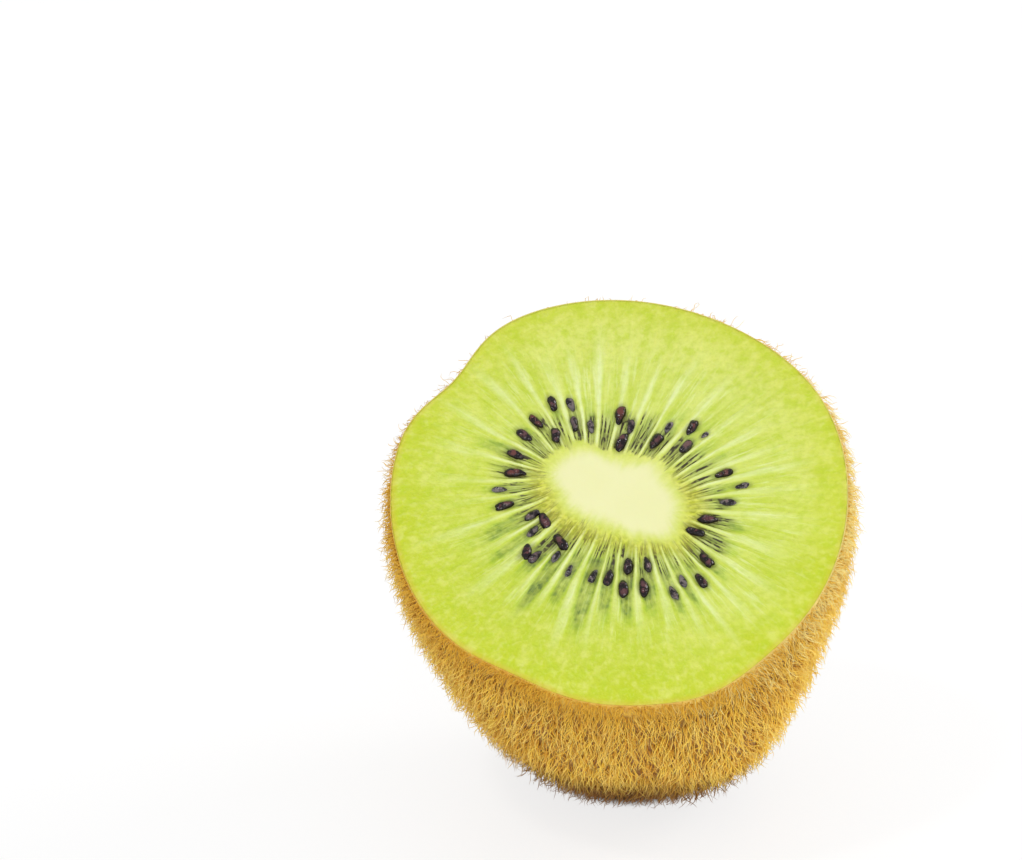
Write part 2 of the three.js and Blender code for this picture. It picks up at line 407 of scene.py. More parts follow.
class Rays:
    """Where points of the face lie: past the core, along rays, and among pockets and pale rays (septa)."""

    def __init__(self, right, up):
        self.draw = np.random.default_rng(21)
        core_right, core_up = right - CORE_MIDDLE[0], up - CORE_MIDDLE[1]
        self.from_middle = np.hypot(core_right, core_up)
        self.past_core = self.from_middle - core_radius(np.arctan2(core_up, core_right))
        self.angle = ray_angle(right, up)
        rolled = np.stack([9 * np.cos(self.angle), 9 * np.sin(self.angle), self.past_core / 6], -1)
        phase = pocket_phase(self.angle) + 0.06 * Waves(5, (1.5, 4.0), 14).at(rolled)
        nearest = np.round(phase)
        self.aside = np.abs(phase - nearest)
        self.pocket = nearest.astype(int) % len(POCKETS)
        self.septum = np.floor(phase).astype(int) % len(POCKETS)
        self.ragged = Waves(6, (0.4, 1.0), 24).at(rolled)
        self.edge = 0.035 + 0.006 * np.maximum(self.past_core, 0)

    def each(self, low, high, which):
        """Random numbers, one for each pocket or septum, at every point."""
        return self.draw.uniform(low, high, len(POCKETS))[which]


def pocket_masks(rays):
    """Pockets, most of their spacing wide and some darker than others, and green smears beyond the seeds."""
    past_core, aside, edge = rays.past_core, rays.aside, rays.edge
    start = rays.each(-0.5, 0.4, rays.pocket) + 0.35 * rays.ragged
    end = rays.each(4.5, 6.8, rays.pocket)
    width = rays.each(0.32, 0.4, rays.pocket)
    depth = rays.each(0.55, 1.0, rays.pocket) * (0.8 + 0.2 * np.sin(rays.angle))
    inside = 1 - smooth(width - edge, width + edge, aside)
    along = smooth(start - 0.3, start + 0.5, past_core) * (1 - smooth(0.5, 1.0, past_core / end))
    dark = depth * along * inside

    below = swell(rays.angle, [SMEARED_SIDE])
    smear_end = rays.each(6.5, 10.0, rays.pocket) * (1 + 0.8 * below)
    smear_depth = rays.each(0.75, 1.0, rays.pocket) * (0.55 + 0.45 * below)
    smear_width = width * (1.15 - 0.6 * np.clip(past_core / smear_end, 0, 1))
    smear = smear_depth * (1 - smooth(smear_width - 2 * edge, smear_width + 2 * edge, aside))
    smear *= smooth(2.0, 4.0, past_core) * (1 - smooth(0.55, 1.0, past_core / smear_end))
    return dark, smear, width


def ray_masks(rays, pocket_width):
    """Pale rays between the pockets, which widen past the seeds, and where fine pale streaks fan out."""
    past_core = rays.past_core
    reach = rays.each(12.0, 18.0, rays.septum)
    brightness = rays.each(0.6, 1.0, rays.septum)
    ray_edge = pocket_width - 0.1 * smooth(4.0, 11.0, past_core)
    pale = brightness * smooth(ray_edge, ray_edge + 1.6 * rays.edge + 0.04, rays.aside)
    pale *= smooth(-0.3, 0.8, past_core) * (1 - smooth(0.4, 1.0, past_core / reach))
    faint = swell(rays.angle, [FAINT_SIDE])
    pale *= 1 - faint * smooth(3.0, 8.0, past_core)
    fan = (1 - faint) * smooth(0.5, 3.0, past_core) * (1 - smooth(8.0, 16.0, past_core))
    return pale, fan


def core_masks(rays):
    """The core, which fades into a grainy yellow zone, widest to the right and below."""
    core = 1 - smooth(-2.8, 1.0, rays.past_core + 0.15 * rays.ragged)
    zone = 0.1 + np.clip(swell(rays.angle, RING_SWELLS), 0, 1)
    faded = smooth(0.3, 0.8 + 2.6 * zone, rays.past_core + 0.3 * rays.ragged)
    ring = zone * smooth(-1.2, 0.2, rays.past_core) * (1 - faded)
    return core, ring


def rim_masks(right, up):
    """The darker flesh along the rim, and where the peel's tint shows through its edge."""
    to_rim = outline(np.arctan2(up, right), 0.0) - np.hypot(right, up)
    rim = 1 - smooth(0.0, 5.5, to_rim)
    # Along the top the skin hides the peel's tint; on the right the tint is faded as painted light.
    hidden = swell(np.arctan2(up, right), [(0.85, *TOP_EDGE), (0.6, *PAINTED_LIGHT_SIDE[1:])])
    peel = (1 - smooth(SKIN_THICKNESS, 0.9, to_rim)) * np.clip(1 - hidden, 0, 1)
    return rim, peel


def cut_pattern(right, up):
    """Masks of the cut at points of the face, each from 0 to 1, and coordinates for grain and streaks."""
    rays = Rays(right, up)
    dark, smear, pocket_width = pocket_masks(rays)
    pale, fan = ray_masks(rays, pocket_width)
    core, ring = core_masks(rays)
    rim, peel = rim_masks(right, up)

    # Grain is drawn out a little along the rays.
    stretch = (GRAIN_RADIUS / np.maximum(rays.from_middle, 0.01)) ** 0.25
    grain_right = (right - CORE_MIDDLE[0]) * stretch
    grain_up = (up - CORE_MIDDLE[1]) * stretch
    return {
        "core_ring_rim": np.stack([core, ring, rim], -1),
        "pale_dark_smear": np.stack([pale, dark, smear], -1),
        "fan_shade_peel": np.stack([fan, seed_shade(right, up), peel], -1),
        "grain": np.stack([grain_right, grain_up, np.zeros_like(right)], -1) * MM,
        "streaks": np.stack([np.cos(rays.angle), np.sin(rays.angle), rays.past_core / STREAK_LENGTH], -1),
    }


def seed_shade(right, up):
    """Painted shade round each seed, longest along its ray."""
    shade = np.zeros_like(right)
    seed_right, seed_up, size = seed_places()
    for middle_right, middle_up, share in zip(seed_right, seed_up, size):
        along, across = seed_axes(middle_right, middle_up)
        away = np.stack([right - middle_right, up - middle_up], -1)
        length = (away @ along) / (0.8 * SEED_SIZE[0] * share)
        width = (away @ across) / (0.72 * SEED_SIZE[1] * share)
        shade = np.maximum(shade, 1 - smooth(0.5, 1.1, np.hypot(length, width)))
    return shade


def seed_axes(right, up):
    """Directions along and across the ray through a point of the face."""
    step = 0.05
    slope_right = ray_angle(right + step, up) - ray_angle(right - step, up)
    slope_up = ray_angle(right, up + step) - ray_angle(right, up - step)
    slopes = [(slope + np.pi) % (2 * np.pi) - np.pi for slope in (slope_right, slope_up)]
    across = unit(np.array(slopes))
    return np.array([across[1], -across[0]]), across


def face_height(right, up, pattern):
    """Relief of the cut: domed core, sunk pockets, rays just proud, rim eased over."""
    core, ring, rim = pattern["core_ring_rim"].T
    pale, dark, smear = pattern["pale_dark_smear"].T
    shade = pattern["fan_shade_peel"][:, 1]
    grain = Waves(3, (0.7, 1.6), 24, 2).at(np.stack([right, up], -1)) * (1 - core)
    sunk = POCKET_SINK * dark + SMEAR_SINK * smear + SEED_HOLLOW * shade + RIM_SINK * rim ** 3
    return FACE_RISE + CORE_DOME * core + RAY_RISE * pale + GRAIN_RELIEF * grain - sunk


# ---------------------------------------- flesh

def flesh_piece():
    sectors, face_rings, side_rows = 640, 104, 12
    angle = np.arange(sectors) * 2 * np.pi / sectors
    shares = np.arange(1, face_rings + 1) / face_rings
    rim_right = (outline(angle, 0.0) - SKIN_THICKNESS) * np.cos(angle)
    rim_up = (outline(angle, 0.0) - SKIN_THICKNESS) * np.sin(angle)
    right = CORE_MIDDLE[0] + shares[:, None] * (rim_right - CORE_MIDDLE[0])
    up = CORE_MIDDLE[1] + shares[:, None] * (rim_up - CORE_MIDDLE[1])
    right = np.concatenate([[CORE_MIDDLE[0]], right.ravel()])
    up = np.concatenate([[CORE_MIDDLE[1]], up.ravel()])
    pattern = cut_pattern(right, up)
    face = np.stack([right, up, face_height(right, up, pattern)], -1)

    depth = np.sin(np.linspace(0, np.pi / 2, side_rows + 1))[1:-1]
    depth_grid, angle_grid = np.meshgrid(depth, angle, indexing="ij")
    outward, _ = skin_axes(angle_grid, depth_grid)
    side = (skin(angle_grid, depth_grid) - SKIN_THICKNESS * outward).reshape(-1, 3)
    tip = np.array([[0, 0, SKIN_THICKNESS - BODY_LENGTH]])

    points = rest_on(to_part(np.concatenate([face, side, tip])), FLESH_FLOOR)
    faces = closed_faces(face_rings + side_rows - 1, sectors, flip=True)
    hidden = len(points) - len(face)
    attributes = {key: np.concatenate([values, np.zeros((hidden, 3))]) for key, values in pattern.items()}
    return add_mesh("flesh", points, faces, attributes)


def flesh_material():
    paint = Paint("moist_flesh", Roughness=0.42, Subsurface_Weight=0.15, IOR=1.36)
    paint.shader.inputs["Subsurface Radius"].default_value = (1.0, 1.3, 0.4)
    paint.shader.inputs["Subsurface Scale"].default_value = 0.5 * MM
    core, ring, rim = paint.parts("core_ring_rim")
    pale, dark, smear = paint.parts("pale_dark_smear")
    fan, shade, peel = paint.parts("fan_shade_peel")
    grain_place = paint.attribute("grain")
    streaks = paint.attribute("streaks")
    place = paint.place()
    grain = paint.noise(grain_place, 1600, 1.5, 0.5)
    blotch = paint.noise(grain_place, 760, 2, 0.5)
    fine = paint.noise(place, 2900, 2, 0.5)
    patch = paint.noise(place, 190, 3, 0.5)
    fine_streak = paint.noise(streaks, 38, 3, 0.6)
    thin_streak = paint.noise(streaks, 46, 1, 0.4)
    broad_streak = paint.noise(streaks, 20, 2, 0.5)

    # Lime green, deeper and yellower in patches, below and towards the rim, paler towards the top with a
    # painted sheen, and with pale grains.
    side, height, _ = paint.split(streaks)
    low = paint.math("ADD", paint.times(side, -0.2), paint.times(height, -0.95))
    green = paint.mix(paint.spread(patch, 0.42, 0.66), colour(210, 221, 90), colour(194, 209, 50))
    green = paint.mix(paint.spread(low, -0.1, 1.1, 0, 0.6), green, colour(188, 205, 34))
    # A painted sheen makes the top paler.
    green = paint.mix(paint.spread(height, 0.1, 1.1, 0, 0.45), green, colour(223, 229, 138))
    green = paint.mix(paint.times(rim, 0.65), green, colour(196, 209, 30))
    green = paint.mix(paint.spread(blotch, 0.5, 0.68, 0, 0.45), green, colour(224, 228, 118))
    green = paint.mix(paint.spread(blotch, 0.5, 0.34, 0, 0.5), green, colour(186, 208, 34))
    green = paint.mix(paint.spread(grain, 0.5, 0.72, 0, 0.28), green, colour(226, 231, 132))
    green = paint.mix(paint.spread(grain, 0.5, 0.28, 0, 0.32), green, colour(186, 204, 46))
    green = paint.mix(paint.spread(fine, 0.5, 0.8, 0, 0.2), green, colour(230, 235, 144))
    green = paint.mix(paint.spread(fine, 0.5, 0.25, 0, 0.2), green, colour(176, 196, 50))

    # Fine pale streaks and crisp pale rays fan out from the core, with green smears between them.
    streaked = paint.mix(paint.spread(broad_streak, 0.4, 0.6), colour(188, 209, 66), colour(210, 225, 116))
    green = paint.mix(paint.times(fan, 0.5), green, streaked)
    fine_pale = paint.times(fan, paint.spread(fine_streak, 0.52, 0.7, 0, 0.7))
    green = paint.mix(fine_pale, green, colour(226, 237, 158))
    faint_smear = paint.mix(paint.spread(fine_streak, 0.4, 0.6), colour(138, 176, 48), colour(176, 204, 78))
    deep_smear = paint.mix(paint.spread(fine_streak, 0.4, 0.6), colour(92, 114, 52), colour(140, 162, 76))
    smeared = paint.mix(paint.spread(smear, 0.3, 0.8), faint_smear, deep_smear)
    mottled = paint.times(paint.spread(blotch, 0.36, 0.62, 1.0, 0.5), paint.spread(smear, 0.0, 0.75))
    mottled = paint.times(mottled, paint.spread(grain, 0.4, 0.6, 1.0, 0.7))
    green = paint.mix(mottled, green, smeared)
    ray = paint.times(pale, paint.spread(fine_streak, 0.34, 0.54, 0.6, 1.0))
    ray = paint.times(ray, paint.spread(blotch, 0.34, 0.52, 0.7, 1.0))
    green = paint.mix(ray, green, colour(229, 240, 174))

    # The pockets are grey green, with thin dark lines along them and bright ones that are painted glints.
    pocket = paint.mix(paint.spread(fine_streak, 0.4, 0.6), colour(112, 124, 66), colour(176, 190, 96))
    green = paint.mix(paint.times(dark, 0.9), green, pocket)
    # Painted shade round each seed.
    green = paint.mix(paint.times(shade, 0.5), green, colour(92, 94, 60))
    # Painted glints: bright thin lines in the pockets.
    painted_glint = paint.times(paint.spread(thin_streak, 0.42, 0.36), dark)
    green = paint.mix(paint.times(painted_glint, 0.6), green, colour(222, 230, 160))
    line = paint.times(paint.spread(thin_streak, 0.52, 0.58), paint.spread(dark, 0.0, 0.5))
    line = paint.times(line, paint.spread(grain, 0.38, 0.52, 0.4, 1.0))
    green = paint.mix(line, green, colour(66, 60, 40))

    # The grainy yellow zone, the core itself, and the orange tint of the peel through the rim.
    strokes = paint.mix(paint.spread(grain, 0.4, 0.58), colour(170, 168, 42), colour(214, 213, 78))
    green = paint.mix(paint.times(ring, 0.8), green, strokes)
    cream = paint.mix(paint.spread(core, 0.3, 1.0), colour(226, 232, 128), colour(236, 236, 180))
    cream = paint.mix(paint.spread(patch, 0.35, 0.7, 0, 0.35), cream, colour(231, 231, 168))
    green = paint.mix(core, green, cream)
    paint.colour(paint.mix(paint.times(peel, 0.6), green, colour(214, 186, 60)))

    rough = paint.math("SUBTRACT", 1.0, paint.times(core, 0.9))
    wet = paint.math("ADD", paint.times(grain, 0.8), paint.times(fine, 0.35))
    wet = paint.math("ADD", wet, paint.times(fine_streak, paint.times(fan, 0.6)))
    paint.bump(paint.times(wet, rough), 0.18, 0.8)
    paint.set(paint.shader.inputs["Roughness"], paint.spread(patch, 0.3, 0.7, 0.34, 0.5))
    return paint.material


# ---------------------------------------- seeds

def seeds_piece():
    draw = np.random.default_rng(4)
    sides, rings = 20, 12
    length, width, thickness = (size / 2 for size in SEED_SIZE)
    latitude = np.arange(1, rings) * np.pi / rings
    turn = np.arange(sides) * 2 * np.pi / sides
    girth = np.sin(latitude) ** 0.85 * (1 - 0.2 * np.cos(latitude))
    body = np.stack([
        np.repeat(-np.cos(latitude)[:, None], sides, 1),
        girth[:, None] * np.cos(turn),
        girth[:, None] * np.sin(turn),
    ], -1).reshape(-1, 3)
    one = np.concatenate([[[-1, 0, 0]], body, [[1, 0, 0]]])
    one_faces = closed_faces(rings - 1, sides)

    lumps = Waves(12, (0.7, 1.6), 16)
    points, faces, looks = [], [], []
    for seed, right, up, share in zip(SEEDS, *seed_places()):
        offset = np.radians(seed[3]) + draw.normal(0, 0.1)
        along, _ = seed_axes(right, up)
        if along @ (np.array([right, up]) - CORE_MIDDLE) < 0:
            along = -along
        heading = np.arctan2(along[1], along[0]) + offset
        veil = float(smooth(0.98, 0.8, share))
        uneven = one * (1 + 0.09 * lumps.at(one + 5 * len(faces))[:, None])
        scaled = uneven * share * np.array([1.06 * length, width * draw.uniform(0.8, 1.02), thickness])
        cosine, sine = np.cos(heading), np.sin(heading)
        turned = scaled @ np.array([[cosine, sine, 0], [-sine, cosine, 0], [0, 0, 1]])
        points.append(turned + np.array([right, up, -SEED_DEPTH - VEILED_DEPTH * veil]))
        faces.append(one_faces + len(one) * len(faces))
        tone = draw.uniform()
        looks.append([[tone, veil, crown] for crown in one[:, 2]])
    attributes = {"tone_veil_crown": np.concatenate(looks)}
    return add_mesh("seeds", to_part(np.concatenate(points)), np.concatenate(faces), attributes)


def seed_material():
    """Near black with a painted brown sheen over the crown and a painted pale reflection at the waterline. A
    thin film of flesh greys the half-covered ones.
    """
    paint = Paint("glossy_seed", Roughness=0.1, IOR=1.4, Specular_IOR_Level=0.5)
    place = paint.place()
    tone, veil, crown = paint.parts("tone_veil_crown")
    pits = paint.cells(place, 4200)
    cloud = paint.noise(place, 1300, 3, 0.6)
    # Painted sheen: a lighter brown over each seed's crown.
    top = paint.times(paint.spread(crown, 0.5, 0.98), paint.spread(cloud, 0.46, 0.6))
    dark = paint.mix(top, colour(22, 12, 17), colour(98, 62, 64))
    dark = paint.mix(paint.times(paint.spread(tone, 0.55, 1.0), top), dark, colour(102, 54, 48))
    film = paint.mix(paint.spread(cloud, 0.42, 0.6), colour(34, 28, 36), colour(138, 134, 134))
    seed = paint.mix(paint.times(veil, 0.6), dark, film)
    # A pale band at each seed's waterline is a painted reflection from the pocket's wall.
    paint.colour(paint.mix(paint.spread(crown, 0.1, -0.15, 0, 0.7), seed, colour(176, 168, 110)))
    paint.bump(paint.math("ADD", pits, cloud), 0.08, 0.6)
    return paint.material


# ---------------------------------------- skin

def skin_piece():
    """A closed thin shell: down its outside to the far tip and back up its inside to the cut."""
    sectors, outer_rows, inner_rows = 256, 70, 20
    angle = np.arange(sectors) * 2 * np.pi / sectors

    def layer(depths, inset):
        depth_grid, angle_grid = np.meshgrid(depths, angle, indexing="ij")
        outward, _ = skin_axes(angle_grid, depth_grid)
        return skin(angle_grid, depth_grid) - inset * outward

    outer = layer(np.sin(np.linspace(0, np.pi / 2, outer_rows + 1))[:-1], 0.0)
    inner = layer(np.sin(np.linspace(0, np.pi / 2, inner_rows + 1))[:-1], SKIN_THICKNESS - SKIN_GAP)
    inner[0, :, 2] = -SKIN_GAP
    rows = np.concatenate([outer[::-1], inner])
    tips = np.array([[0, 0, -BODY_LENGTH], [0, 0, SKIN_THICKNESS - SKIN_GAP - BODY_LENGTH]])
    placed = to_part(np.concatenate([tips[:1], rows.reshape(-1, 3), tips[1:]]))
    on_inside = np.zeros(len(placed), dtype=bool)
    on_inside[1 + outer_rows * sectors:] = True
    placed[:, 2] = np.maximum(placed[:, 2], np.where(on_inside, SKIN_INSIDE_FLOOR, SKIN_FLOOR))
    row_count = outer_rows + inner_rows
    faces = closed_faces(row_count, sectors)
    below_cut = np.zeros(len(placed))
    below_cut[1:1 + outer_rows * sectors] = -outer[::-1, :, 2].ravel()
    below_cut[0] = BODY_LENGTH
    places = [below_cut]
    for side in ((1.0, *TOP_EDGE), PAINTED_LIGHT_SIDE):
        places.append(np.concatenate([[0], np.tile(swell(angle, [side]), row_count), [0]]))
    return add_mesh("skin", placed, faces, {"depth_top_painted_light": np.stack(places, -1)})


def skin_material():
    paint = Paint("brown_skin", Roughness=0.75)
    place = paint.place()
    cloud = paint.noise(place, 240, 4, 0.6)
    fine = paint.noise(place, 1400, 3, 0.6)
    dots = paint.cells(place, 620)
    brown = paint.mix(paint.spread(cloud, 0.36, 0.66), colour(148, 98, 36), colour(154, 119, 48))
    brown = paint.mix(paint.spread(fine, 0.4, 0.7, 0, 0.5), brown, colour(140, 90, 34))
    brown = paint.mix(paint.spread(dots, 0.32, 0.1, 0, 0.7), brown, colour(110, 66, 24))
    below_cut, at_top, at_painted_light_side = paint.parts("depth_top_painted_light")
    narrower = paint.math("ADD", paint.times(at_top, 2.0), 1.0)
    edge = paint.spread(paint.times(below_cut, narrower), 0.3, 3.4, 1.0, 0.0)
    peel = paint.mix(paint.spread(fine, 0.4, 0.6), colour(212, 156, 50), colour(220, 182, 66))
    # The peel is painted paler on the right as painted light.
    peel = paint.mix(at_painted_light_side, peel, colour(238, 216, 128))
    peel = paint.mix(at_top, peel, colour(226, 214, 120))
    paint.colour(paint.mix(edge, brown, peel))
    paint.bump(paint.math("SUBTRACT", fine, dots), 0.15, 0.8)
    return paint.material


# ---------------------------------------- coat of hairs

# Each kind: rise, comb and curl say how a hair stands, leans down the skin and bends, gather how far it
# joins a tuft, rings how finely it is made, and short what length it keeps right at the cut.
TUFTS = 3000
HAIR_KINDS = {
    "fuzz_down": {
        "finish": "amber", "count": 19600, "seed": 41, "length": (0.8, 1.5), "radius": 0.056,
        "rise": 0.7, "comb": 0.55, "curl": 0.8, "gather": 0.25, "rings": 3, "short": 0.6,
    },
    "fuzz_tufts": {
        "finish": "golden", "count": 8900, "seed": 42, "length": (1.5, 2.5), "radius": 0.06,
        "rise": 0.75, "comb": 0.6, "curl": 1.5, "gather": 0.4, "rings": 5, "short": 0.6,
    },
    "fuzz_curls": {
        "finish": "golden", "count": 7000, "seed": 43, "length": (1.4, 2.3), "radius": 0.055,
        "rise": 0.8, "comb": 0.4, "curl": 2.3, "gather": 0.25, "rings": 6, "short": 0.6,
    },
    "fuzz_strays": {
        "finish": "straw", "count": 5000, "seed": 44, "length": (1.5, 2.5), "radius": 0.048,
        "rise": 0.9, "comb": 0.3, "curl": 1.8, "gather": 0.0, "rings": 6, "short": 0.8,
    },
}

# Close to the cut the hairs are short, crowd and aren't combed down, but along its top they stand thin.
# How they crowd is a list of (height, depth below the cut where it fades).
SHORT_DEPTH = 5.0
CROWDS = [(1.1, 4.0), (1.4, 0.9)]
EDGE_DEPTH = 1.3
EDGE_LIFT = 0.1
TOP_EDGE_SHARE = 0.15
# Towards the floor they get longer, up to this many times, and darker with painted shade over these heights.
LONG_HEIGHT = 7.0
LONG_SHARE = 1.35
FLOOR_SHADE_HEIGHTS = (2.6, 9.2)
# Hairs start a little inside the skin and get thinner to their tips and near the cut.
ROOT_DEPTH = 0.05
TIP_SHARE = 0.6
CUT_THINNING = 0.3


class Coat:
    """Where hairs grow, and the tufts that they lean into."""

    def __init__(self):
        rows, self.sectors = 160, 240
        self.depth_edges = np.sin(np.linspace(0, np.pi / 2, rows + 1))
        depth = (self.depth_edges[1:] + self.depth_edges[:-1]) / 2
        angle = (np.arange(self.sectors) + 0.5) * 2 * np.pi / self.sectors
        depth_grid, angle_grid = np.meshgrid(depth, angle, indexing="ij")
        step = 1e-3
        across = (skin(angle_grid + step, depth_grid) - skin(angle_grid - step, depth_grid)) / (2 * step)
        down = (skin(angle_grid, depth_grid + step) - skin(angle_grid, depth_grid - step)) / (2 * step)
        area = np.linalg.norm(np.cross(across, down), axis=-1) * np.diff(self.depth_edges)[:, None]
        crowd = sum(height * np.exp(-(depth_grid * BODY_LENGTH / fade) ** 2) for height, fade in CROWDS)
        area *= 1 + crowd * (1 - along_top(angle_grid))
        self.chance = area.ravel() / area.sum()

        draw = np.random.default_rng(30)
        self.lean = [Waves(seed, (3.0, 8.0), 12) for seed in (31, 32, 33)]
        angle, depth = self.roots(TUFTS, draw)
        outward, down = skin_axes(angle, depth)
        roots = skin(angle, depth)
        heading = unit(0.6 * outward + 0.75 * down + self.leaning(roots, outward, draw, 0.3, 0.35))
        self.tuft_tips = roots + draw.uniform(1.4, 2.0, (TUFTS, 1)) * heading
        self.tree = kdtree.KDTree(TUFTS)
        for index, root in enumerate(roots):
            self.tree.insert(root, index)
        self.tree.balance()

    def roots(self, count, draw):
        """Evenly scattered places on the skin as angle and share of depth."""
        cell = draw.choice(len(self.chance), count, p=self.chance)
        row, column = np.divmod(cell, self.sectors)
        low, high = self.depth_edges[row], self.depth_edges[row + 1]
        depth = np.clip(low + (high - low) * draw.uniform(size=count), 0.0, 0.998)
        angle = (column + draw.uniform(size=count)) * 2 * np.pi / self.sectors
        return angle, depth

    def leaning(self, roots, outward, draw, shared, own):
        """Sideways lean of each hair: a part that neighbours share and a part of its own."""
        lean = np.stack([wave.at(roots) for wave in self.lean], -1)
        lean -= (lean * outward).sum(-1, keepdims=True) * outward
        return shared * lean + own * draw.normal(size=roots.shape)

    def nearest_tips(self, roots):
        return self.tuft_tips[[self.tree.find(root)[1] for root in roots]]


def along_top(angle):
    """How near places round the outline are to the top of the cut, from 0 to 1."""
    return swell(angle, [(1.0, *TOP_EDGE)])


def grown(below_cut, over_floor, short):
    """How many times its usual length a hair has, by where its root is."""
    by_cut = short + (1 - short) * smooth(0, SHORT_DEPTH, below_cut)
    by_floor = LONG_SHARE + (1 - LONG_SHARE) * smooth(0, LONG_HEIGHT, over_floor)
    return by_cut * by_floor


def thinned(angle, depth, draw):
    """Which hairs stay where the coat is thin, close to the top of the cut."""
    edge = 1 - smooth(0.35 * EDGE_DEPTH, 0.8 * EDGE_DEPTH, depth * BODY_LENGTH)
    share = 1 - edge * along_top(angle) * (1 - TOP_EDGE_SHARE)
    return draw.uniform(size=len(angle)) < share


def tubes(centres, radii):
    """Three-sided tapering tubes along rows of points, closed at the root and pointed at the tip."""
    count, rings, _ = centres.shape
    tangent = unit(np.gradient(centres, axis=1))
    helper = unit(np.cross(tangent[:, 0], np.roll(tangent[:, 0], 1, axis=-1)))
    side = unit(np.cross(tangent, helper[:, None]))
    other = np.cross(tangent, side)
    body = []
    for corner in range(3):
        turn = 2 * np.pi * corner / 3
        body.append(centres + radii[..., None] * (np.cos(turn) * side + np.sin(turn) * other))
    body = np.stack(body, 2)[:, :-1].reshape(count, -1, 3)
    points = np.concatenate([body, centres[:, -1:]], 1)
    size = points.shape[1]

    faces = [[0, 2, 1]]
    for ring in range(rings - 2):
        for corner in range(3):
            a = 3 * ring + corner
            b = 3 * ring + (corner + 1) % 3
            faces += [[a, b, b + 3], [a, b + 3, a + 3]]
    last = 3 * (rings - 2)
    faces += [[last, last + 1, size - 1], [last + 1, last + 2, size - 1], [last + 2, last, size - 1]]
    all_faces = np.array(faces)[None] + size * np.arange(count)[:, None, None]
    return points.reshape(-1, 3), all_faces.reshape(-1, 3), size


def hair_lines(kind, coat, draw):
    """Rows of points along hairs, in the fruit's own axes, and each root's angle and depth below the cut."""
    angle, depth = coat.roots(kind["count"], draw)
    stays = thinned(angle, depth, draw)
    angle, depth = angle[stays], depth[stays]
    count = len(angle)
    below_cut = depth * BODY_LENGTH
    outward, down = skin_axes(angle, depth)
    root = skin(angle, depth) - ROOT_DEPTH * outward
    leaning = coat.leaning(root, outward, draw, 0.3, 0.38)
    lifted = (1 - smooth(0, 2 * EDGE_DEPTH, below_cut)) * (1 - along_top(angle))
    comb = kind["comb"] - (kind["comb"] + EDGE_LIFT) * lifted
    heading = unit(kind["rise"] * outward + comb[:, None] * down + leaning)
    length = draw.uniform(*kind["length"], count) * grown(below_cut, to_part(root)[:, 2], kind["short"])
    length = length[:, None]

    aside = unit(np.cross(heading, draw.normal(size=(count, 3))))
    other = np.cross(heading, aside)
    turns = draw.uniform(2.0, 5.5, (count, 1))
    start = draw.uniform(0, 2 * np.pi, (count, 1))
    sway = 0.16 * kind["curl"] * length
    droop = draw.uniform(0.0, 0.5, (count, 1)) * kind["curl"]
    pull = kind["gather"] * (coat.nearest_tips(root) - root - length * heading)
    centres = []
    for share in np.linspace(0, 1, kind["rings"]):
        phase = start + turns * share
        curl = sway * share * (np.cos(phase) * aside + np.sin(phase) * other)
        straight = length * share * (heading + droop * share * down)
        centres.append(root + straight + curl + share ** 1.5 * pull)
    return np.stack(centres, 1), angle, below_cut


def hair_piece(name, kind, coat):
    """One kind of hair as one mesh, with each hair's tone, which also holds painted light, and how near to
    the cut it grows.
    """
    draw = np.random.default_rng(kind["seed"])
    rings = kind["rings"]
    centres, angle, below_cut = hair_lines(kind, coat, draw)
    centres = to_part(centres)
    above = centres[:, 0, 2] > ROOT_FLOOR
    centres = rest_on(centres[above], HAIR_LINE_FLOOR)
    angle, below_cut = angle[above], below_cut[above]
    kept = len(centres)

    taper = np.linspace(1, TIP_SHARE, rings)[None]
    near_cut = 1 - smooth(0.4, 3.5, below_cut)
    thickness = draw.uniform(0.8, 1.2, (kept, 1)) * taper * (1 - CUT_THINNING * near_cut[:, None])
    points, faces, corners = tubes(centres, kind["radius"] * thickness)
    height = np.concatenate([np.repeat(np.linspace(0, 1, rings)[:-1], 3), [1.0]])

    # A tone under 0 makes a hair pale with painted light, as most are close to the cut on its right side.
    painted_light_side = swell(angle, [PAINTED_LIGHT_SIDE])
    pale = painted_light_side * (1 - smooth(1.0, 7.0, below_cut))
    tone = draw.uniform(size=kept) * (1 - 0.1 * painted_light_side) - 0.75 * pale
    looks = [np.tile(height, kept), np.repeat(tone, corners), np.repeat(near_cut, corners)]
    return add_mesh(name, rest_on(points, HAIR_FLOOR), faces, {"height_tone_light_cut": np.stack(looks, -1)})


